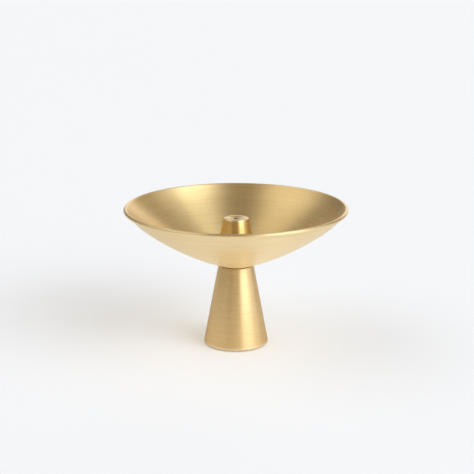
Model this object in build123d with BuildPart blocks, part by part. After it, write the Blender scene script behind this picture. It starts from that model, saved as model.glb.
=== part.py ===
from build123d import *

import os
from math import acos, cos, degrees, radians, sin, tan

os.makedirs("parts", exist_ok=True)

# Pedestal dish for an incense stick. Millimetres, +Z up, origin on the surface that the foot stands on,
# in the middle of the foot. Every piece but the nut and the split washer is round about the Z axis.

# Driving dimensions: the dish
rim_radius = 63.5
bead_radius = 1.05
sheet = 1.2
joint_height = 47.1
seat_radius = 10.1
knee_radius = 51.9
foot_slope = 19.5
knee_slope = 36.0
rim_slope = 53.5

# Driving dimensions: the foot
foot_lift = 0.3
foot_radius = 18.7
foot_edge = 1.4
flank_wall = 2.6
web = 4.0
gasket = 0.4
stem_top_edge = 0.2

# Driving dimensions: the stick cone
cone_top_height = 74.1
cone_top_radius = 7.25
cone_taper = 10.4
cone_top_edge = 0.35
dimple_radius = 4.5
dimple_depth = 0.55
stick_radius = 1.1
stick_depth = 10.0

# Driving dimensions: the M6 rod and what is on it
rod_radius = 3.0
thread_clearance = 0.02
rod_clearance = 0.25
rod_chamfer = 0.6
rod_proud = 0.5
engagement = 7.0
tap_runout = 1.5
washer = 0.5
nut_flats = 10.0
nut_height = 5.0
plate_radius = 13.45
plate_height = 3.0
plate_chamfer = 0.4
plain_washer = 1.6
plain_washer_radius = 6.0
split_washer = 1.6
split_washer_radius = 5.5
split_gap = 1.2
split_turn = 20
close_hole = 0.1
free_hole = 0.2
pad_radius = 15.4
pad_height = 1.9
pad_edge = 0.25

# The dish's wall in section is two tangent arcs, given by the slope of the wall at their ends
lower_arc = (knee_radius - seat_radius) / (sin(radians(knee_slope)) - sin(radians(foot_slope)))
lower_centre = (
    seat_radius - lower_arc * sin(radians(foot_slope)),
    joint_height + lower_arc * cos(radians(foot_slope)),
)
bead_inset = sheet - bead_radius
upper_arc = (rim_radius - bead_radius - knee_radius + bead_inset * sin(radians(rim_slope))) / (
    sin(radians(rim_slope)) - sin(radians(knee_slope))
)
upper_centre = (
    knee_radius - upper_arc * sin(radians(knee_slope)),
    lower_centre[1] - (lower_arc - upper_arc) * cos(radians(knee_slope)),
)
bead_centre = (
    rim_radius - bead_radius,
    upper_centre[1] - (upper_arc - bead_inset) * cos(radians(rim_slope)),
)
# The bead's centre lies inside the wall, so the wall's outside runs into the bead a little before its end
bead_reach = degrees(
    acos(
        (upper_arc**2 + (upper_arc - bead_inset) ** 2 - bead_radius**2)
        / (2 * upper_arc * (upper_arc - bead_inset))
    )
)
floor_height = joint_height + sheet
floor_slope = degrees(acos((lower_centre[1] - floor_height) / (lower_arc - sheet)))

# Heights down the rod
stem_top = joint_height - gasket
rod_bottom = pad_height + rod_chamfer
nut_bottom = rod_bottom + rod_proud
split_bottom = nut_bottom + nut_height
plain_bottom = split_bottom + split_washer
plate_bottom = plain_bottom + plain_washer
plate_top = plate_bottom + plate_height
rod_top = floor_height + washer + engagement
hole_radius = rod_radius + rod_clearance

with BuildPart() as dish:
    with BuildSketch(Plane.XZ):
        with BuildLine():
            Line((hole_radius, joint_height), (seat_radius, joint_height))
            CenterArc(lower_centre, lower_arc, foot_slope - 90, knee_slope - foot_slope)
            outside = CenterArc(upper_centre, upper_arc, knee_slope - 90, rim_slope - bead_reach - knee_slope)
            inside = CenterArc(upper_centre, upper_arc - sheet, knee_slope - 90, rim_slope - knee_slope)
            bottom = CenterArc(lower_centre, lower_arc - sheet, floor_slope - 90, knee_slope - floor_slope)
            ThreePointArc(outside @ 1, (rim_radius, bead_centre[1]), inside @ 1)
            Line(bottom @ 0, (hole_radius, floor_height))
            Line((hole_radius, floor_height), (hole_radius, joint_height))
        make_face()
    revolve(axis=Axis.Z)
dish.part.label = "dish"
export_step(dish.part, "parts/dish.step")

# The stick cone stands on a fibre washer let into its underside, and its lower edge is bevelled to clear
# the dish's wall, which starts to rise under it
edge_gap = 0.1
washer_radius = 8.0
recess_radius = washer_radius + 0.3
flat_radius = 9.6
bevel_rise = 0.85
cone_edge_height = floor_height + edge_gap
flank_height = cone_top_height - cone_edge_height - bevel_rise
cone_base_radius = cone_top_radius + flank_height * tan(radians(cone_taper))
dimple_bottom = cone_top_height - dimple_depth
tapped_top = rod_top + tap_runout
with BuildPart() as stick_cone:
    with BuildSketch(Plane.XZ):
        with BuildLine():
            Polyline(
                (0, cone_edge_height),
                (flat_radius, cone_edge_height),
                (cone_base_radius, cone_edge_height + bevel_rise),
                (cone_top_radius, cone_top_height),
                (0, cone_top_height),
                close=True,
            )
        make_face()
    revolve(axis=Axis.Z)
    fillet(stick_cone.edges().group_by(Axis.Z)[-1], cone_top_edge)
    with BuildSketch(Plane.XZ):
        with BuildLine():
            Polyline(
                (0, cone_top_height + 1),
                (dimple_radius, cone_top_height + 1),
                (dimple_radius, cone_top_height),
                (stick_radius, dimple_bottom),
                (stick_radius, dimple_bottom - stick_depth),
                (0, dimple_bottom - stick_depth),
                close=True,
            )
        make_face()
    revolve(axis=Axis.Z, mode=Mode.SUBTRACT)
    with BuildSketch(Plane.XY.offset(cone_edge_height)):
        Circle(recess_radius)
    extrude(amount=washer - edge_gap, mode=Mode.SUBTRACT)
    with BuildSketch(Plane.XY.offset(cone_edge_height)):
        Circle(rod_radius + thread_clearance)
    extrude(amount=tapped_top - cone_edge_height, mode=Mode.SUBTRACT)
stick_cone.part.label = "stick_cone"
export_step(stick_cone.part, "parts/stick_cone.step")


def stem_radius(height):
    """The outside radius of the stem's straight flank at a height."""
    along = (height - foot_lift) / (stem_top - foot_lift)
    return foot_radius + (seat_radius - foot_radius) * along


# The hollow foot: a web at the top carries the dish, a shoulder takes the base plate, and a recess the pad
pad_recess = pad_radius + 0.1
seating = plate_radius + 0.05
shoulder = seating - 1.4
with BuildPart() as stem_shell:
    with BuildSketch(Plane.XZ):
        with BuildLine():
            Polyline(
                (hole_radius, stem_top),
                (seat_radius, stem_top),
                (foot_radius, foot_lift),
                (pad_recess, foot_lift),
                (pad_recess, pad_height),
                (seating, pad_height),
                (seating, plate_top),
                (shoulder, plate_top),
                (stem_radius(stem_top - web) - flank_wall, stem_top - web),
                (hole_radius, stem_top - web),
                close=True,
            )
        make_face()
    revolve(axis=Axis.Z)
    fillet(stem_shell.edges().group_by(Axis.Z)[0].sort_by(SortBy.RADIUS)[-1], foot_edge)
    fillet(stem_shell.edges().group_by(Axis.Z)[-1].sort_by(SortBy.RADIUS)[-1], stem_top_edge)
stem_shell.part.label = "stem_shell"
export_step(stem_shell.part, "parts/stem_shell.step")


def ring(name, bottom, height, outer, inner):
    """A flat ring round the Z axis, written as its own piece."""
    with BuildPart() as piece:
        with BuildSketch(Plane.XY.offset(bottom)):
            Circle(outer)
            Circle(inner, mode=Mode.SUBTRACT)
        extrude(amount=height)
    piece.part.label = name
    export_step(piece.part, f"parts/{name}.step")


gasket_inset = 0.5
ring("cone_washer", floor_height, washer, washer_radius, rod_radius + close_hole)
ring("stem_gasket", stem_top, gasket, seat_radius - gasket_inset, hole_radius)
ring("clamp_washer", plain_bottom, plain_washer, plain_washer_radius, rod_radius + free_hole)

# The base plate spans the foot's bore, and its edges are chamfered
with BuildPart() as base_plate:
    with BuildSketch(Plane.XY.offset(plate_bottom)):
        Circle(plate_radius)
        Circle(rod_radius + free_hole, mode=Mode.SUBTRACT)
    extrude(amount=plate_height)
    chamfer(base_plate.edges().filter_by(GeomType.CIRCLE).group_by(SortBy.RADIUS)[-1], plate_chamfer)
base_plate.part.label = "base_plate"
export_step(base_plate.part, "parts/base_plate.step")

# The spring washer is clamped nearly flat, so only its split shows
split_middle = (rod_radius + close_hole + split_washer_radius) / 2
split_length = split_washer_radius - rod_radius + split_gap
with BuildPart() as spring_washer:
    with BuildSketch(Plane.XY.offset(split_bottom)):
        Circle(split_washer_radius)
        Circle(rod_radius + close_hole, mode=Mode.SUBTRACT)
        with Locations((split_middle, 0)):
            Rectangle(split_length, split_gap, rotation=split_turn, mode=Mode.SUBTRACT)
    extrude(amount=split_washer)
spring_washer.part.label = "spring_washer"
export_step(spring_washer.part, "parts/spring_washer.step")

# Hexagon nut with its corners turned off at both ends
corner_radius = nut_flats / 2 / cos(radians(30))
corner_drop = 0.5
turned_radius = corner_radius - 2 * corner_drop
beyond_corner = corner_radius + 0.1
nut_top = nut_bottom + nut_height
with BuildPart() as hex_nut:
    with BuildSketch(Plane.XY.offset(nut_bottom)):
        RegularPolygon(corner_radius, 6)
    extrude(amount=nut_height)
    with BuildSketch(Plane.XZ):
        with BuildLine():
            Polyline(
                (0, nut_bottom),
                (turned_radius, nut_bottom),
                (beyond_corner, nut_bottom + corner_drop),
                (beyond_corner, nut_top - corner_drop),
                (turned_radius, nut_top),
                (0, nut_top),
                close=True,
            )
        make_face()
    revolve(axis=Axis.Z, mode=Mode.INTERSECT)
    with BuildSketch(Plane.XY.offset(nut_bottom)):
        Circle(rod_radius + thread_clearance)
    extrude(amount=nut_height, mode=Mode.SUBTRACT)
hex_nut.part.label = "hex_nut"
export_step(hex_nut.part, "parts/hex_nut.step")

# The threaded rod, drawn at its outside diameter
with BuildPart() as tie_rod:
    with BuildSketch(Plane.XY.offset(rod_bottom)):
        Circle(rod_radius)
    extrude(amount=rod_top - rod_bottom)
    chamfer(tie_rod.edges().filter_by(GeomType.CIRCLE), rod_chamfer)
tie_rod.part.label = "tie_rod"
export_step(tie_rod.part, "parts/tie_rod.step")

# The felt pad is let into the foot and stands proud of it by the foot's lift
with BuildPart() as felt_pad:
    with BuildSketch():
        Circle(pad_radius)
    extrude(amount=pad_height)
    fillet(felt_pad.edges().group_by(Axis.Z)[0], pad_edge)
felt_pad.part.label = "felt_pad"
export_step(felt_pad.part, "parts/felt_pad.step")

print(f"rim top {bead_centre[1] + bead_radius:.2f}, floor {floor_height:.2f}")
print(f"cone base {cone_base_radius:.2f}, bead centre {bead_centre[0]:.2f}, {bead_centre[1]:.3f}")
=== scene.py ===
# %% [markdown]
# # A pedestal dish in brushed brass
#
# The object is a wide, shallow brass dish on a cone-shaped foot. A small cone in the middle of the dish has
# a narrow hole that holds an incense stick. Every brass piece was turned or spun on a lathe, so this lesson
# draws each one as a lathe hand would: half a section first, and then one full turn about the axis.

# %% Load the fixed frame
import math

import bmesh
import bpy
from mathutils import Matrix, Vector


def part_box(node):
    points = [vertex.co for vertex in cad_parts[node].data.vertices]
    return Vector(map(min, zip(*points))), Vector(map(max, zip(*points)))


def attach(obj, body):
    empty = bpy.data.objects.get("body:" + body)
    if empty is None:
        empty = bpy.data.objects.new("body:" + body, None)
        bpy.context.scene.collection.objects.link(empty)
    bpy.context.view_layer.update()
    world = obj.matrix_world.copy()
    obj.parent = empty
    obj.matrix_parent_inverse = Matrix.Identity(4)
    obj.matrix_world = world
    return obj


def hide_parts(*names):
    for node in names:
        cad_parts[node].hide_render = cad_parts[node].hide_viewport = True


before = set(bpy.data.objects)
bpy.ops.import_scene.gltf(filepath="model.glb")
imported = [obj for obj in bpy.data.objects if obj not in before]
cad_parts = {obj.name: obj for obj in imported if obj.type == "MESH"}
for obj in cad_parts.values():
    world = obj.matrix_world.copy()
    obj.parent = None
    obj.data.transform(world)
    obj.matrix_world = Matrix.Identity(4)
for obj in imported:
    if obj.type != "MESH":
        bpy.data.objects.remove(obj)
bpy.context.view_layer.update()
MM = 0.001

# %% [markdown]
# ## Sizes
#
# The frame says where each CAD piece lies, so the main sizes are read from it. The curve of the dish's
# wall is not in a box's corners, so its few driving numbers are named here, in millimetres and degrees.
# The other sizes are named where a piece first needs them.

# %% Read the main sizes from the frame
def radius_of(node):
    """The outside radius of a round CAD piece, in millimetres."""
    low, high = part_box(node)
    return min(-low.x, -low.y, high.x, high.y) / MM


def heights_of(node):
    """The lowest and highest point of a CAD piece, in millimetres."""
    low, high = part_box(node)
    return low.z / MM, high.z / MM


rim_radius = radius_of("dish")
joint_height, rim_height = heights_of("dish")
foot_lift, stem_top = heights_of("stem_shell")
cone_foot, cone_top = heights_of("stick_cone")
rod_radius = radius_of("tie_rod")
rod_low, rod_high = heights_of("tie_rod")
print(f"rim {rim_radius:.2f}, joint {joint_height:.2f}, rim top {rim_height:.2f}, cone top {cone_top:.2f}")

# %% Name the sizes that a box can't tell
SHEET = 1.2
BEAD = 1.05
SEAT = 10.1
KNEE = 51.9
SLOPE_AT_SEAT = 19.5
SLOPE_AT_KNEE = 36.0
SLOPE_AT_RIM = 53.5
ROD_CLEARANCE = 0.25
ROD_HOLE = rod_radius + ROD_CLEARANCE
AROUND = 256

# %% [markdown]
# ## A pen for half sections
#
# A section could be a long list of points. Here a pen makes it instead: one vertex is extruded along the
# straight runs, and spun about a centre for the arcs. Sharp corners are then rounded with a vertex bevel,
# which gives even a crisp lathe edge the thin bright line that real metal shows.

# %% Straight runs, arcs and rounded corners
def new_section():
    """An empty section, whose vertices can remember how far along it they lie."""
    section = bmesh.new()
    section.verts.layers.float.new("along")
    return section


def start(section, r, z):
    """Puts the pen down at a radius and a height in millimetres."""
    return section.verts.new((r * MM, 0, z * MM))


def run(section, pen, r, z):
    """Draws a straight run to a radius and a height."""
    pen = bmesh.ops.extrude_vert_indiv(section, verts=[pen])["verts"][0]
    pen.co = (r * MM, 0, z * MM)
    return pen


def swing(section, pen, centre, degrees, steps):
    """Draws an arc about a centre. A positive turn goes anticlockwise in a section with +X to the right."""
    made = bmesh.ops.spin(
        section,
        geom=[pen],
        cent=(centre[0] * MM, 0, centre[1] * MM),
        axis=(0, -1, 0),
        angle=math.radians(degrees),
        steps=steps,
    )
    return next(part for part in made["geom_last"] if isinstance(part, bmesh.types.BMVert))


def round_corner(section, corner, reach, segments=4):
    """Rounds one corner of a section. reach is how far along both runs the rounding starts."""
    bmesh.ops.bevel(
        section,
        geom=[corner],
        offset=reach * MM,
        offset_type="OFFSET",
        segments=segments,
        profile=0.5,
        affect="VERTICES",
        material=-1,
    )


# %% [markdown]
# ## The lathe
#
# One full spin about Z turns a section into a solid shell. Each vertex first remembers how far along the
# section it lies. That and the angle about the axis become the UV map, whose U direction then follows the
# lathe's marks everywhere. The brass needs it later, because brushed metal stretches its highlights.

# %% Turn a section about the axis and give it a UV map
def neighbours(vert):
    """The vertices that share an edge with this one."""
    return [edge.other_vert(vert) for edge in vert.link_edges]


def mark_distance(section, first):
    """Walks the section from one vertex, stores each vertex's distance along it, and gives its length."""
    along = section.verts.layers.float["along"]
    seen = {first}
    here, total = first, 0.0
    here[along] = 0.0
    while True:
        ahead = [v for v in neighbours(here) if v not in seen]
        if not ahead:
            break
        total += (ahead[0].co - here.co).length
        here = ahead[0]
        here[along] = total
        seen.add(here)
    if first in neighbours(here):
        total += (first.co - here.co).length
    return total


def unwrap_turned(mesh, length):
    """U is the angle about the axis, in turns, and V the distance along the section, in its lengths."""
    along = mesh.verts.layers.float["along"]
    uv = mesh.loops.layers.uv.new("lathe")
    for face in mesh.faces:
        angles, places = [], []
        for loop in face.loops:
            x, y, _ = loop.vert.co
            on_axis = math.hypot(x, y) < 1e-7
            angles.append(None if on_axis else math.atan2(y, x) / math.tau)
            places.append(loop.vert[along] / length)
        known = [a for a in angles if a is not None]
        if max(known) - min(known) > 0.5:
            angles = [a if a is None or a > 0 else a + 1 for a in angles]
            known = [a for a in angles if a is not None]
        if max(places) - min(places) > 0.5:
            places = [p if p > 0.5 else p + 1 for p in places]
        middle = sum(known) / len(known)
        for loop, a, p in zip(face.loops, angles, places):
            loop[uv].uv = (middle if a is None else a, p)


def turn(section, name, first, around=AROUND, crease=40):
    """Spins a finished section into a closed, smooth-shaded object."""
    length = mark_distance(section, first)
    bmesh.ops.spin(
        section,
        geom=section.verts[:] + section.edges[:],
        cent=(0, 0, 0),
        axis=(0, 0, 1),
        angle=math.tau,
        steps=around,
        use_merge=True,
    )
    bmesh.ops.remove_doubles(section, verts=section.verts[:], dist=1e-7)
    bmesh.ops.recalc_face_normals(section, faces=section.faces[:])
    unwrap_turned(section, length)
    return to_object(section, name, crease)


def to_object(mesh, name, crease=40):
    """Writes a bmesh as an object at the origin, smooth but for edges sharper than the crease angle."""
    for face in mesh.faces:
        face.smooth = True
    for edge in mesh.edges:
        if len(edge.link_faces) == 2:
            edge.smooth = edge.calc_face_angle(0) < math.radians(crease)
    open_edges = sum(1 for edge in mesh.edges if len(edge.link_faces) != 2)
    data = bpy.data.meshes.new(name)
    mesh.to_mesh(data)
    mesh.free()
    piece = bpy.data.objects.new(name, data)
    bpy.context.scene.collection.objects.link(piece)
    print(f"{name}: {len(data.polygons)} faces, {open_edges} open edges")
    return piece


# %% [markdown]
# ## The dish
#
# The real dish is a disc of sheet brass, spun over a former, with its edge rolled outwards into a bead. Its
# wall is two arcs that meet without a kink. The inside is the same two arcs, moved in by the thickness of
# the sheet, and the bead's circle touches the inside, so that a cloth would slide over the rim.

# %% Work out the wall's two arcs
def sine(degrees):
    """The sine of an angle in degrees."""
    return math.sin(math.radians(degrees))


def cosine(degrees):
    """The cosine of an angle in degrees."""
    return math.cos(math.radians(degrees))


def point_on(centre, radius, slope):
    """The point of an arc where the wall has this slope."""
    return centre[0] + radius * sine(slope), centre[1] - radius * cosine(slope)


lower_arc = (KNEE - SEAT) / (sine(SLOPE_AT_KNEE) - sine(SLOPE_AT_SEAT))
lower_centre = (SEAT - lower_arc * sine(SLOPE_AT_SEAT), joint_height + lower_arc * cosine(SLOPE_AT_SEAT))
inset = SHEET - BEAD
upper_run = rim_radius - BEAD - KNEE + inset * sine(SLOPE_AT_RIM)
upper_arc = upper_run / (sine(SLOPE_AT_RIM) - sine(SLOPE_AT_KNEE))
upper_centre = (
    KNEE - upper_arc * sine(SLOPE_AT_KNEE),
    lower_centre[1] - (lower_arc - upper_arc) * cosine(SLOPE_AT_KNEE),
)
bead_centre = point_on(upper_centre, upper_arc - inset, SLOPE_AT_RIM)
print(f"bead's top is {bead_centre[1] + BEAD - rim_height:+.4f} mm from the CAD rim")

# %% Find where the wall ends
floor_height = joint_height + SHEET
floor_slope = math.degrees(math.acos((lower_centre[1] - floor_height) / (lower_arc - SHEET)))
bead_reach = math.degrees(
    math.acos((upper_arc**2 + (upper_arc - inset) ** 2 - BEAD**2) / (2 * upper_arc * (upper_arc - inset)))
)
wall_end = point_on(upper_centre, upper_arc, SLOPE_AT_RIM - bead_reach)
bead_start = math.degrees(math.atan2(wall_end[1] - bead_centre[1], wall_end[0] - bead_centre[0]))
print(f"the floor's edge slopes {floor_slope:.1f} degrees, and the bead takes up {bead_reach:.1f}")

# %% Draw and spin the dish
LOWER_STEPS = 44
UPPER_STEPS = 18
BEAD_STEPS = 22

section = new_section()
first = start(section, ROD_HOLE, floor_height)
hole_edge = run(section, first, ROD_HOLE, joint_height)
seat_edge = run(section, hole_edge, *point_on(lower_centre, lower_arc, SLOPE_AT_SEAT))
knee = swing(section, seat_edge, lower_centre, SLOPE_AT_KNEE - SLOPE_AT_SEAT, LOWER_STEPS)
notch = swing(section, knee, upper_centre, SLOPE_AT_RIM - bead_reach - SLOPE_AT_KNEE, UPPER_STEPS)
rim = swing(section, notch, bead_centre, SLOPE_AT_RIM + 90 - bead_start, BEAD_STEPS)
knee_inside = swing(section, rim, upper_centre, SLOPE_AT_KNEE - SLOPE_AT_RIM, UPPER_STEPS)
floor_edge = swing(section, knee_inside, lower_centre, floor_slope - SLOPE_AT_KNEE, LOWER_STEPS)
section.edges.new((floor_edge, first))
for corner, reach in ((seat_edge, 0.25), (floor_edge, 0.6), (notch, 0.12), (hole_edge, 0.15)):
    round_corner(section, corner, reach)
dish = turn(section, "brass_dish", first)
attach(dish, "pedestal")
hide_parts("dish")

# %% [markdown]
# ## The foot
#
# The foot is a hollow turned cone. Its flank is dead straight, its bottom edge is rounded over so that it
# can't cut the table, and its top edge is only just broken, which leaves a fine dark line under the dish.
# Inside, a web carries the dish, a shoulder takes the base plate, and a recess the felt pad.

# %% Draw and spin the foot
FOOT_RADIUS = 18.7
EDGE_REACH = 1.175
EDGE_STEPS = 8
CRISP_EDGE = 0.2
WEB = 4.0
CAVITY_TOP_RADIUS = 8.2
SHOULDER = 1.4
SLIP = 0.05
seating = radius_of("base_plate") + SLIP
plate_top = heights_of("base_plate")[1]
pad_recess = radius_of("felt_pad") + 2 * SLIP
pad_top = heights_of("felt_pad")[1]

section = new_section()
first = start(section, ROD_HOLE, stem_top)
top_edge = run(section, first, SEAT, stem_top)
bottom_edge = run(section, top_edge, FOOT_RADIUS, foot_lift)
ring_edge = run(section, bottom_edge, pad_recess, foot_lift)
pen = run(section, ring_edge, pad_recess, pad_top)
pen = run(section, pen, seating, pad_top)
pen = run(section, pen, seating, plate_top)
pen = run(section, pen, seating - SHOULDER, plate_top)
pen = run(section, pen, CAVITY_TOP_RADIUS, stem_top - WEB)
pen = run(section, pen, ROD_HOLE, stem_top - WEB)
section.edges.new((pen, first))
round_corner(section, bottom_edge, EDGE_REACH, EDGE_STEPS)
round_corner(section, top_edge, CRISP_EDGE)
round_corner(section, ring_edge, CRISP_EDGE)
foot = turn(section, "brass_foot", first)
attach(foot, "pedestal")
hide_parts("stem_shell")

# %% [markdown]
# ## The stick cone
#
# The small cone was turned from bar, with a finer finish than the rest. Its top is a flat ring about a very
# shallow dished centre, which leads the stick into its hole. It screws down on the rod, so its underside
# has a tapped hole and a recess for the fibre washer.

# %% Draw and spin the stick cone
CONE_TOP_RADIUS = 7.25
DIMPLE = 4.5
DIMPLE_DEPTH = 0.55
DIMPLE_STEPS = 10
STICK = 1.1
STICK_DEPTH = 10.0
FLAT = 9.6
BEVEL_RISE = 0.85
THREAD_SLIP = 0.02
TAP_RUNOUT = 1.5
TAP_POINT = 1.2
DRILL_POINT = 0.6
RECESS_SLIP = 0.3
cone_radius = radius_of("stick_cone")
washer_high = heights_of("cone_washer")[1]
recess = radius_of("cone_washer") + RECESS_SLIP
tapped_radius = rod_radius + THREAD_SLIP
tapped_top = rod_high + TAP_RUNOUT
dimple_floor = cone_top - DIMPLE_DEPTH
hole_bottom = dimple_floor - STICK_DEPTH

section = new_section()
first = start(section, 0, tapped_top + TAP_POINT)
pen = run(section, first, tapped_radius, tapped_top)
pen = run(section, pen, tapped_radius, washer_high)
pen = run(section, pen, recess, washer_high)
pen = run(section, pen, recess, cone_foot)
flat_edge = run(section, pen, FLAT, cone_foot)
skirt = run(section, flat_edge, cone_radius, cone_foot + BEVEL_RISE)
shoulder = run(section, skirt, CONE_TOP_RADIUS, cone_top)
lip = run(section, shoulder, DIMPLE, cone_top)
dimple_arc = (DIMPLE**2 + DIMPLE_DEPTH**2) / (2 * DIMPLE_DEPTH)
dimple_turn = math.degrees(math.asin(DIMPLE / dimple_arc) - math.asin(STICK / dimple_arc))
mouth = swing(section, lip, (0, dimple_floor + dimple_arc), -dimple_turn, DIMPLE_STEPS)
pen = run(section, mouth, STICK, hole_bottom)
pen = run(section, pen, 0, hole_bottom - DRILL_POINT)
for corner, reach in ((flat_edge, 0.15), (skirt, 0.25), (shoulder, 0.32), (lip, 0.25), (mouth, 0.18)):
    round_corner(section, corner, reach)
cone = turn(section, "brass_stick_cone", first)
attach(cone, "cone")
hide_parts("stick_cone")

# %% [markdown]
# ## The threaded rod
#
# The rod shows only when the stick cone is unscrewed. A thread is one tooth that climbs a pitch in each
# turn. So a closed tooth section is spun once round with a rise in every step, that one turn is stacked
# on itself to the rod's height, and a plain core with pointed ends runs up through it.

# %% Spin one turn of thread and stack it
PITCH = 1.0
THREAD_DEPTH = 0.61
PLAIN_END = 0.8
SUNK = 0.15
HALF_FOOT = 0.46 * PITCH
HALF_CREST = 0.07 * PITCH
STEPS_A_TURN = 48
root_radius = rod_radius - THREAD_DEPTH
turns = int((rod_high - rod_low - 2 * PLAIN_END) / PITCH)
thread_low = rod_low + PLAIN_END

thread = new_section()
first = start(thread, root_radius - SUNK, thread_low - HALF_FOOT)
pen = run(thread, first, rod_radius, thread_low - HALF_CREST)
pen = run(thread, pen, rod_radius, thread_low + HALF_CREST)
pen = run(thread, pen, root_radius - SUNK, thread_low + HALF_FOOT)
thread.edges.new((pen, first))
bmesh.ops.spin(
    thread,
    geom=thread.verts[:] + thread.edges[:],
    cent=(0, 0, 0),
    axis=(0, 0, 1),
    dvec=(0, 0, PITCH * MM / STEPS_A_TURN),
    angle=math.tau,
    steps=STEPS_A_TURN,
)
one_turn = thread.verts[:] + thread.edges[:] + thread.faces[:]
for number in range(1, turns):
    copied = bmesh.ops.duplicate(thread, geom=one_turn)["geom"]
    moved = [part for part in copied if isinstance(part, bmesh.types.BMVert)]
    bmesh.ops.translate(thread, verts=moved, vec=(0, 0, number * PITCH * MM))
bmesh.ops.remove_doubles(thread, verts=thread.verts[:], dist=1e-6)
bmesh.ops.holes_fill(thread, edges=[edge for edge in thread.edges if edge.is_boundary], sides=4)

# %% Add the core
POINT = 0.5
pen = start(thread, 0, rod_low)
pen = run(thread, pen, root_radius - POINT, rod_low)
pen = run(thread, pen, root_radius, rod_low + POINT)
pen = run(thread, pen, root_radius, rod_high - POINT)
pen = run(thread, pen, root_radius - POINT, rod_high)
pen = run(thread, pen, 0, rod_high)
outline = [vert for vert in thread.verts if not vert.link_faces]
bmesh.ops.spin(
    thread,
    geom=outline + list({edge for vert in outline for edge in vert.link_edges}),
    cent=(0, 0, 0),
    axis=(0, 0, 1),
    angle=math.tau,
    steps=STEPS_A_TURN,
    use_merge=True,
)
bmesh.ops.remove_doubles(thread, verts=thread.verts[:], dist=1e-6)
bmesh.ops.recalc_face_normals(thread, faces=thread.faces[:])
rod = to_object(thread, "steel_rod", crease=30)
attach(rod, "pedestal")
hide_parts("tie_rod")

# %% [markdown]
# ## The felt pad
#
# Pressed felt is a short, dense pile. A disc with a soft edge is enough for its shape. Its woolly face
# comes from the material, as the pad is too thin to be pushed about without leaving its recess.

# %% Spin the felt pad
PAD_EDGE = 0.35
PAD_EDGE_STEPS = 5
PAD_RINGS = 5
pad_low = heights_of("felt_pad")[0]
pad_radius = radius_of("felt_pad")

section = new_section()
first = start(section, 0, pad_top)
pen = run(section, first, pad_radius, pad_top)
soft_edge = run(section, pen, pad_radius, pad_low)
pen = soft_edge
for ring in range(PAD_RINGS - 1, -1, -1):
    pen = run(section, pen, pad_radius * ring / PAD_RINGS, pad_low)
round_corner(section, soft_edge, PAD_EDGE, PAD_EDGE_STEPS)
felt = turn(section, "felt_disc", first, around=AROUND // 2)
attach(felt, "pedestal")
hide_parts("felt_pad")

# %% [markdown]
# ## Brushed brass
#
# Brushed brass is a bright metal cut by thousands of fine rings. Three things make it: the colour of the
# metal, a highlight that is stretched across the rings, and the rings themselves. The stretch is the
# shader's own anisotropy, and its direction comes from the lathe UV map. The rings are a noise that is
# squeezed along one direction: slow round the axis, and fast across it. It reads Object coordinates, so
# it has no seam. A thin clear coat stands for the lacquer, whose sheen is paler than the metal's.

# %% Make a material and feed its sockets
def new_material(name):
    """A material with an empty tree, and its shader joined to the output."""
    material = bpy.data.materials.new(name)
    material.use_nodes = True
    tree = material.node_tree
    tree.nodes.clear()
    shader = tree.nodes.new("ShaderNodeBsdfPrincipled")
    output = tree.nodes.new("ShaderNodeOutputMaterial")
    tree.links.new(shader.outputs["BSDF"], output.inputs["Surface"])
    return material, tree, shader


def feed(tree, value, socket):
    """Gives a socket a number, a colour or the value of another socket."""
    if isinstance(value, bpy.types.NodeSocket):
        tree.links.new(value, socket)
    elif isinstance(value, tuple):
        socket.default_value = (*value, 1.0)
    else:
        socket.default_value = value


def math_node(tree, operation, a, b=0.0):
    """One sum on two inputs, each a socket or a number."""
    node = tree.nodes.new("ShaderNodeMath")
    node.operation = operation
    feed(tree, a, node.inputs[0])
    feed(tree, b, node.inputs[1])
    return node.outputs[0]


def remap(tree, value, low, high, to_low=0.0, to_high=1.0):
    """Spreads a value from one range to another, smoothly and without running past its ends."""
    node = tree.nodes.new("ShaderNodeMapRange")
    node.interpolation_type = "SMOOTHSTEP"
    for socket, given in zip(node.inputs, (value, low, high, to_low, to_high)):
        feed(tree, given, socket)
    return node.outputs[0]


def mix_colour(tree, share, a, b):
    """Blends two colours, each a socket or a triple, by a share."""
    node = tree.nodes.new("ShaderNodeMix")
    node.data_type = "RGBA"
    for socket, value in ((node.inputs[0], share), (node.inputs[6], a), (node.inputs[7], b)):
        feed(tree, value, socket)
    return node.outputs[2]


def noise(tree, vector, scale=1.0, detail=2.0, roughness=0.5):
    """A noise read at a vector, from 0 to 1."""
    node = tree.nodes.new("ShaderNodeTexNoise")
    node.inputs["Scale"].default_value = scale
    node.inputs["Detail"].default_value = detail
    node.inputs["Roughness"].default_value = roughness
    tree.links.new(vector, node.inputs["Vector"])
    return node.outputs["Fac"]


# %% Coordinates that follow the lathe's marks
def object_place(tree):
    """The Object coordinates, and their x, y and z."""
    place = tree.nodes.new("ShaderNodeTexCoord").outputs["Object"]
    parts = tree.nodes.new("ShaderNodeSeparateXYZ")
    tree.links.new(place, parts.inputs[0])
    return place, parts.outputs


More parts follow.
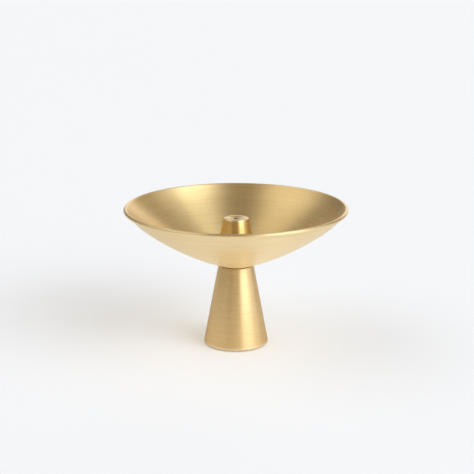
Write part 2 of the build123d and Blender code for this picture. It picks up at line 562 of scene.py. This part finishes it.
def ring_vector(tree, across, slow, fast):
    """A vector that changes slowly round the axis and fast across the rings. fast is rings a metre."""
    _, (x, y, _) = object_place(tree)
    flat = tree.nodes.new("ShaderNodeCombineXYZ")
    tree.links.new(x, flat.inputs[0])
    tree.links.new(y, flat.inputs[1])
    heading = tree.nodes.new("ShaderNodeVectorMath")
    heading.operation = "NORMALIZE"
    tree.links.new(flat.outputs[0], heading.inputs[0])
    parts = tree.nodes.new("ShaderNodeSeparateXYZ")
    tree.links.new(heading.outputs[0], parts.inputs[0])
    out = tree.nodes.new("ShaderNodeCombineXYZ")
    tree.links.new(math_node(tree, "MULTIPLY", parts.outputs[0], slow), out.inputs[0])
    tree.links.new(math_node(tree, "MULTIPLY", parts.outputs[1], slow), out.inputs[1])
    tree.links.new(math_node(tree, "MULTIPLY", across, fast), out.inputs[2])
    return out.outputs[0]


def distance_from_axis(tree):
    """How far a point is from the Z axis, in metres."""
    _, (x, y, _) = object_place(tree)
    squares = math_node(tree, "ADD", math_node(tree, "MULTIPLY", x, x), math_node(tree, "MULTIPLY", y, y))
    return math_node(tree, "SQRT", squares)


# %% [markdown]
# ## Where the brass wears and darkens
#
# A cloth and fingers keep the rim, the foot's edge and the cone's top bright. Under the bead, round the foot
# of the cone, along the joint and where the foot meets the floor, a darker colour is painted on: shade where
# little light reaches, with some tarnish and old polish in it. Soot darkens the stick's hole. On a turned
# piece all of these are rings, so one falloff about a ring makes them all.

# %% Wear, dirt and painted shade along a ring
FULL_WITHIN = 0.2


def near_ring(tree, r, z, reach):
    """1 on a ring about the axis, at a radius and height in mm, fading to 0 at the reach."""
    off = math_node(tree, "SUBTRACT", distance_from_axis(tree), r * MM)
    up = math_node(tree, "SUBTRACT", object_place(tree)[1][2], z * MM)
    off_squared = math_node(tree, "MULTIPLY", off, off)
    squares = math_node(tree, "ADD", off_squared, math_node(tree, "MULTIPLY", up, up))
    distance = math_node(tree, "SQRT", squares)
    return remap(tree, distance, FULL_WITHIN * reach * MM, reach * MM, 1.0, 0.0)


def rings_share(tree, rings):
    """The strongest of several rings, each given as radius, height, reach and strength."""
    share = 0.0
    for r, z, reach, strength in rings:
        ring = math_node(tree, "MULTIPLY", near_ring(tree, r, z, reach), strength)
        share = math_node(tree, "MAXIMUM", ring, share)
    return share


# %% What every brass piece shares
# Dark colours for dirt and painted shade: tarnish with shade in the recesses of the dish and the foot, and
# soot in the stick's hole, whose colour also paints shade round the cone's foot
TARNISH_AND_SHADE = (0.24, 0.15, 0.06)
SOOT_AND_SHADE = (0.04, 0.028, 0.02)
FINE_RINGS = 4200.0
BROAD_RINGS = 1100.0
SCRATCH_DEPTH = 0.006
LACQUER_ROUGHNESS = 0.28
QUARTER_TURN = 0.25


def faces_down(tree):
    """1 where a face looks down, and 0 where it looks up."""
    facing = tree.nodes.new("ShaderNodeSeparateXYZ")
    tree.links.new(tree.nodes.new("ShaderNodeTexCoord").outputs["Normal"], facing.inputs[0])
    return remap(tree, facing.outputs[2], -0.1, 0.1, 1.0, 0.0)


def stretch_highlight(tree, shader, anisotropy):
    """Stretches the highlight across the rings, which run along U in the lathe's UV map."""
    shader.inputs["Anisotropic"].default_value = anisotropy
    shader.inputs["Anisotropic Rotation"].default_value = QUARTER_TURN
    tangent = tree.nodes.new("ShaderNodeTangent")
    tangent.direction_type = "UV_MAP"
    tangent.uv_map = "lathe"
    tree.links.new(tangent.outputs[0], shader.inputs["Tangent"])


def relief(tree, shader, height, depth):
    """Raises the surface by a height from 0 to 1, to a depth in mm."""
    bump = tree.nodes.new("ShaderNodeBump")
    bump.inputs["Distance"].default_value = depth * MM
    tree.links.new(height, bump.inputs["Height"])
    tree.links.new(bump.outputs[0], shader.inputs["Normal"])


# %% The brass itself
def brushed_brass(
    name, across_rings, tone, deep, worn, roughness, anisotropy, coat, edge, shade_and_grime_rings, wear,
    shade_and_dirt_colour=TARNISH_AND_SHADE, underside_painted_light=None,
):
    """Lathe-brushed brass. across_rings is "radius" on a dish and "height" on a cone or a foot. The dark
    rings paint shade where little light reaches, together with tarnish and soot, and the wear rings are
    rubbed metal. The underside tones, a tone and a deep one for the faces that look down, are paler as a
    painted reflection of the bright floor."""
    material, tree, shader = new_material(name)
    place, (_, _, height) = object_place(tree)
    across = distance_from_axis(tree) if across_rings == "radius" else height
    fine = noise(tree, ring_vector(tree, across, 4.0, FINE_RINGS), detail=4.0, roughness=0.65)
    broad = noise(tree, ring_vector(tree, across, 1.5, BROAD_RINGS), detail=3.0, roughness=0.55)
    cloud = noise(tree, place, scale=38.0, detail=3.0)

    # Faces that look down get paler tones, a painted reflection of the bright floor. Broad rings swing
    # between the two tones, and fine rings and soft clouds pull towards the deep one
    if underside_painted_light:
        looks_down = faces_down(tree)
        tone = mix_colour(tree, looks_down, tone, underside_painted_light[0])
        deep = mix_colour(tree, looks_down, deep, underside_painted_light[1])
    tint = mix_colour(tree, remap(tree, broad, 0.2, 0.8), deep, tone)
    tint = mix_colour(tree, remap(tree, fine, 0.4, 0.65, 0.0, 0.55), tint, deep)
    tint = mix_colour(tree, remap(tree, cloud, 0.35, 0.75, 0.0, 0.25), tint, deep)

    # Rubbed metal is paler, and dirt and painted shade lie in patches over it
    rubbed = rings_share(tree, wear)
    patchy = remap(tree, noise(tree, place, scale=420.0, detail=3.0), 0.3, 0.6, 0.55, 1.0)
    shade_and_dirt_share = math_node(tree, "MULTIPLY", rings_share(tree, shade_and_grime_rings), patchy)
    tint = mix_colour(tree, rubbed, tint, worn)
    tree.links.new(mix_colour(tree, shade_and_dirt_share, tint, shade_and_dirt_colour), shader.inputs["Base Color"])

    # The shine varies with the same rings and clouds, and is best where the metal is rubbed
    rough = math_node(tree, "ADD", remap(tree, broad, 0.25, 0.75, -0.02, 0.02), roughness)
    rough = math_node(tree, "ADD", remap(tree, cloud, 0.3, 0.8, -0.02, 0.03), rough)
    rough = math_node(tree, "SUBTRACT", rough, math_node(tree, "MULTIPLY", rubbed, 0.08))
    rough = math_node(tree, "ADD", rough, math_node(tree, "MULTIPLY", shade_and_dirt_share, 0.15))
    tree.links.new(rough, shader.inputs["Roughness"])
    scratches = math_node(tree, "ADD", fine, math_node(tree, "MULTIPLY", broad, 0.4))
    relief(tree, shader, scratches, SCRATCH_DEPTH)
    shader.inputs["Metallic"].default_value = 1.0
    shader.inputs["Coat Weight"].default_value = coat
    shader.inputs["Coat Roughness"].default_value = LACQUER_ROUGHNESS
    shader.inputs["Specular Tint"].default_value = (*edge, 1)
    stretch_highlight(tree, shader, anisotropy)
    return material


# %% [markdown]
# ## Three finishes of brass
#
# The dish has the coarsest brush and the longest highlights. Its outside, where it faces down, is painted
# paler than its inside, as a painted reflection of the bright floor below. The foot is a little finer, and
# the stick cone is fine turned, so it is the deepest in colour and the crispest. Each list of rings gives a
# radius, a height, a reach and a strength.

# %% Give each brass piece its own finish
dish_finish = brushed_brass(
    "dish_brass",
    "radius",
    tone=(0.95, 0.72, 0.35),
    deep=(0.85, 0.59, 0.24),
    worn=(0.98, 0.80, 0.48),
    roughness=0.42,
    anisotropy=0.9,
    coat=0.5,
    edge=(0.88, 0.84, 0.76),
    # Painted shade, with some tarnish: under the bead, round the foot of the cone and along the joint
    shade_and_grime_rings=[(*wall_end, 0.45, 0.85), (cone_radius, floor_height, 0.9, 0.45), (SEAT, joint_height, 0.5, 0.5)],
    wear=[(bead_centre[0] - 0.2, rim_height, 1.0, 0.6)],
    # Paler tones painted on the faces that look down, as a reflection of the bright floor below
    underside_painted_light=((1.0, 0.83, 0.52), (0.93, 0.73, 0.39)),
)
foot_finish = brushed_brass(
    "foot_brass",
    "height",
    tone=(0.93, 0.67, 0.33),
    deep=(0.84, 0.57, 0.24),
    worn=(0.97, 0.76, 0.44),
    roughness=0.36,
    anisotropy=0.78,
    coat=0.5,
    edge=(0.55, 0.50, 0.42),
    # Painted shade along the joint and where the foot meets the floor
    shade_and_grime_rings=[(SEAT, joint_height, 0.6, 0.35), (FOOT_RADIUS - 1.0, foot_lift, 0.8, 0.85)],
    wear=[(FOOT_RADIUS - 0.3, foot_lift + 1.2, 0.9, 0.8)],
)
cone_finish = brushed_brass(
    "cone_brass",
    "height",
    tone=(0.88, 0.61, 0.24),
    deep=(0.80, 0.52, 0.17),
    worn=(0.98, 0.82, 0.54),
    roughness=0.3,
    anisotropy=0.94,
    coat=0.35,
    edge=(0.8, 0.75, 0.65),
    shade_and_dirt_colour=SOOT_AND_SHADE,
    # Painted shade in soot's colour round the cone's foot, and soot in the stick's hole
    shade_and_grime_rings=[(cone_radius, cone_foot + 0.2, 0.9, 0.6), (STICK, dimple_floor - 0.9, 1.6, 1.0)],
    wear=[(CONE_TOP_RADIUS, cone_top, 0.6, 0.9), (DIMPLE, cone_top, 2.7, 0.5)],
)
for piece, finish in ((dish, dish_finish), (foot, foot_finish), (cone, cone_finish)):
    piece.data.materials.append(finish)
    print(f"{piece.name} wears {finish.name}, of {len(finish.node_tree.nodes)} nodes")

# %% [markdown]
# ## Steel, fibre and felt
#
# These pieces are hidden in use. The steel has a faint turned or rolled grain, the fibre washers a dull
# reddish board, and the felt a soft, mixed wool.

# %% Make the steel, fibre and felt
def grainy(name, light, dark, roughness, metallic, scale, depth):
    """A surface whose colour, shine and height all vary with one noise. depth is in mm."""
    material, tree, shader = new_material(name)
    place, _ = object_place(tree)
    grain = noise(tree, place, scale=scale, detail=4.0, roughness=0.6)
    cloud = noise(tree, place, scale=scale / 9, detail=2.0)
    share = math_node(tree, "MULTIPLY", math_node(tree, "ADD", grain, cloud), 0.5)
    tree.links.new(mix_colour(tree, remap(tree, share, 0.35, 0.65), dark, light), shader.inputs["Base Color"])
    rough = remap(tree, grain, 0.3, 0.7, roughness - 0.07, roughness + 0.07)
    tree.links.new(rough, shader.inputs["Roughness"])
    relief(tree, shader, grain, depth)
    shader.inputs["Metallic"].default_value = metallic
    return material, shader


zinc, _ = grainy("zinc_plate", (0.66, 0.67, 0.68), (0.50, 0.51, 0.53), 0.32, 1.0, 900.0, 0.01)
rolled, _ = grainy("rolled_steel", (0.60, 0.60, 0.58), (0.42, 0.42, 0.41), 0.30, 1.0, 1200.0, 0.01)
plate, _ = grainy("turned_steel", (0.50, 0.50, 0.50), (0.36, 0.36, 0.36), 0.42, 1.0, 700.0, 0.02)
fibre, _ = grainy("red_fibre", (0.24, 0.075, 0.04), (0.14, 0.035, 0.02), 0.7, 0.0, 1500.0, 0.02)
wool, wool_shader = grainy("wool_felt", (0.130, 0.120, 0.108), (0.060, 0.055, 0.050), 0.92, 0.0, 2600.0, 0.12)
wool_shader.inputs["Sheen Weight"].default_value = 0.5
wool_shader.inputs["Sheen Roughness"].default_value = 0.6
rod.data.materials.append(rolled)
felt.data.materials.append(wool)
finishes = {
    "base_plate": plate,
    "clamp_washer": zinc,
    "spring_washer": zinc,
    "hex_nut": zinc,
    "cone_washer": fibre,
    "stem_gasket": fibre,
}
for node, material in finishes.items():
    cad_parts[node].data.materials.clear()
    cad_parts[node].data.materials.append(material)
print("CAD pieces that only get a finish:", ", ".join(finishes))

# %% [markdown]
# ## Floor and light
#
# Metal shows the room more than itself, so the light is a small studio painted on the world. It has a
# bright window to the front right in a wide glow, a paler one high on the left, a white wall behind, a dim
# ceiling and a quiet, warm front. The window is a touch blue, as daylight is beside a room's lamps. The
# floor is a plain pale sheet that gives off some of its own brightness, as a lit paper sweep does.

# %% Lay the floor
FLOOR_SPAN = 12000.0
PAPER_COLOUR = (0.880, 0.866, 0.844)
PAPER_GLOW = 0.19

mesh = bmesh.new()
bmesh.ops.create_grid(mesh, x_segments=2, y_segments=2, size=FLOOR_SPAN / 2 * MM)
floor = to_object(mesh, "floor")
paper, tree, shader = new_material("paper")
shader.inputs["Base Color"].default_value = (*PAPER_COLOUR, 1)
shader.inputs["Roughness"].default_value = 0.9
shader.inputs["Specular IOR Level"].default_value = 0.1
shader.inputs["Emission Color"].default_value = (1.0, 1.0, 1.0, 1)
shader.inputs["Emission Strength"].default_value = PAPER_GLOW
floor.data.materials.append(paper)

# %% Paint the studio on the world
world = bpy.data.worlds.new("studio")
bpy.context.scene.world = world
world.use_nodes = True
tree = world.node_tree
tree.nodes.clear()
heading = tree.nodes.new("ShaderNodeTexCoord").outputs["Generated"]
parts = tree.nodes.new("ShaderNodeSeparateXYZ")
tree.links.new(heading, parts.inputs[0])
to_right, to_back, upwards = parts.outputs
bearing = math_node(tree, "ARCTAN2", to_right, math_node(tree, "MULTIPLY", to_back, -1.0))
bearing = math_node(tree, "MULTIPLY", bearing, 180 / math.pi)
rise = math_node(tree, "MULTIPLY", math_node(tree, "ARCSINE", upwards), 180 / math.pi)


def panel(bearing_at, half_width, rise_at, half_height, soft, strength):
    """A soft-edged bright panel on the studio's wall. Bearing 0 is in front, and 90 to the right."""
    off = math_node(tree, "ABSOLUTE", math_node(tree, "SUBTRACT", bearing, bearing_at))
    side = remap(tree, off, half_width - soft, half_width + soft, 1.0, 0.0)
    off = math_node(tree, "ABSOLUTE", math_node(tree, "SUBTRACT", rise, rise_at))
    up = remap(tree, off, half_height - soft, half_height + soft, 1.0, 0.0)
    return math_node(tree, "MULTIPLY", math_node(tree, "MULTIPLY", side, up), strength)


def shine(level, colour):
    """The light that a level of brightness and a colour give."""
    background = tree.nodes.new("ShaderNodeBackground")
    feed(tree, colour, background.inputs["Color"])
    feed(tree, level, background.inputs["Strength"])
    return background.outputs[0]


# %% Hang the window and its glow, then the room
# Each panel is a bearing, half a width, a rise and half a height in degrees, a softness and a strength
DAYLIGHT = (
    (53.0, 22.0, 30.0, 12.0, 6.0, 3.5),
    (62.0, 43.0, 30.0, 38.0, 8.0, 0.9),
)
ROOM = {
    "right wall": (130.0, 22.0, 25.0, 30.0, 12.0, 0.12),
    "high left window": (-86.0, 46.0, 50.0, 18.0, 12.0, 1.13),
    "white wall, behind right": (170.0, 24.0, 8.0, 18.0, 8.0, 1.0),
    "white wall, behind left": (-180.0, 14.0, 8.0, 18.0, 8.0, 0.7),
    "front": (2.0, 18.0, 5.0, 16.0, 10.0, 0.3),
}
HORIZON, CEILING = 0.13, 0.34
DAYLIGHT_COLOUR = (0.90, 1.0, 1.16)
WHITE = (1.0, 1.0, 1.0)
WARM = (1.0, 0.88, 0.78)
WARM_BEARING = -12.0

window = 0.0
for place in DAYLIGHT:
    window = math_node(tree, "ADD", window, panel(*place))
room = remap(tree, rise, 2.0, 28.0, HORIZON, CEILING)
for place in ROOM.values():
    room = math_node(tree, "ADD", room, panel(*place))
off = math_node(tree, "ABSOLUTE", math_node(tree, "SUBTRACT", bearing, WARM_BEARING))
room_colour = mix_colour(tree, remap(tree, off, 15.0, 40.0, 1.0, 0.0), WHITE, WARM)
both = tree.nodes.new("ShaderNodeAddShader")
tree.links.new(shine(window, DAYLIGHT_COLOUR), both.inputs[0])
tree.links.new(shine(room, room_colour), both.inputs[1])
print(f"{len(DAYLIGHT)} panels of daylight, and {len(ROOM)} of the room")

# %% Let the camera see a plain backdrop instead
BACKDROP = 0.92
seen = tree.nodes.new("ShaderNodeMixShader")
tree.links.new(tree.nodes.new("ShaderNodeLightPath").outputs["Is Camera Ray"], seen.inputs[0])
tree.links.new(both.outputs[0], seen.inputs[1])
tree.links.new(shine(BACKDROP, WHITE), seen.inputs[2])
output = tree.nodes.new("ShaderNodeOutputWorld")
tree.links.new(seen.outputs[0], output.inputs["Surface"])

# %% [markdown]
# ## The camera
#
# A long lens from some way off, a little above the rim, keeps the dish's ellipse flat and calm. The camera
# looks at a point about halfway between the joint and the rim.

# %% Place the camera
ELEVATION = 14.8
DISTANCE = 683.4
AIM = Vector((0.57, 0.0, 62.84))
LENS = 91.1
back = Vector((0, -cosine(ELEVATION), sine(ELEVATION)))
camera = bpy.data.objects.new("camera", bpy.data.cameras.new("camera"))
bpy.context.scene.collection.objects.link(camera)
camera.data.lens = LENS
camera.data.clip_start = 0.01
camera.location = (AIM + back * DISTANCE) * MM
camera.rotation_euler = (-back).to_track_quat("-Z", "Y").to_euler()
bpy.context.scene.camera = camera
bpy.context.scene.view_settings.view_transform = "Standard"
print(f"camera {DISTANCE:.0f} mm away and {ELEVATION} degrees up, with a {LENS} mm lens")
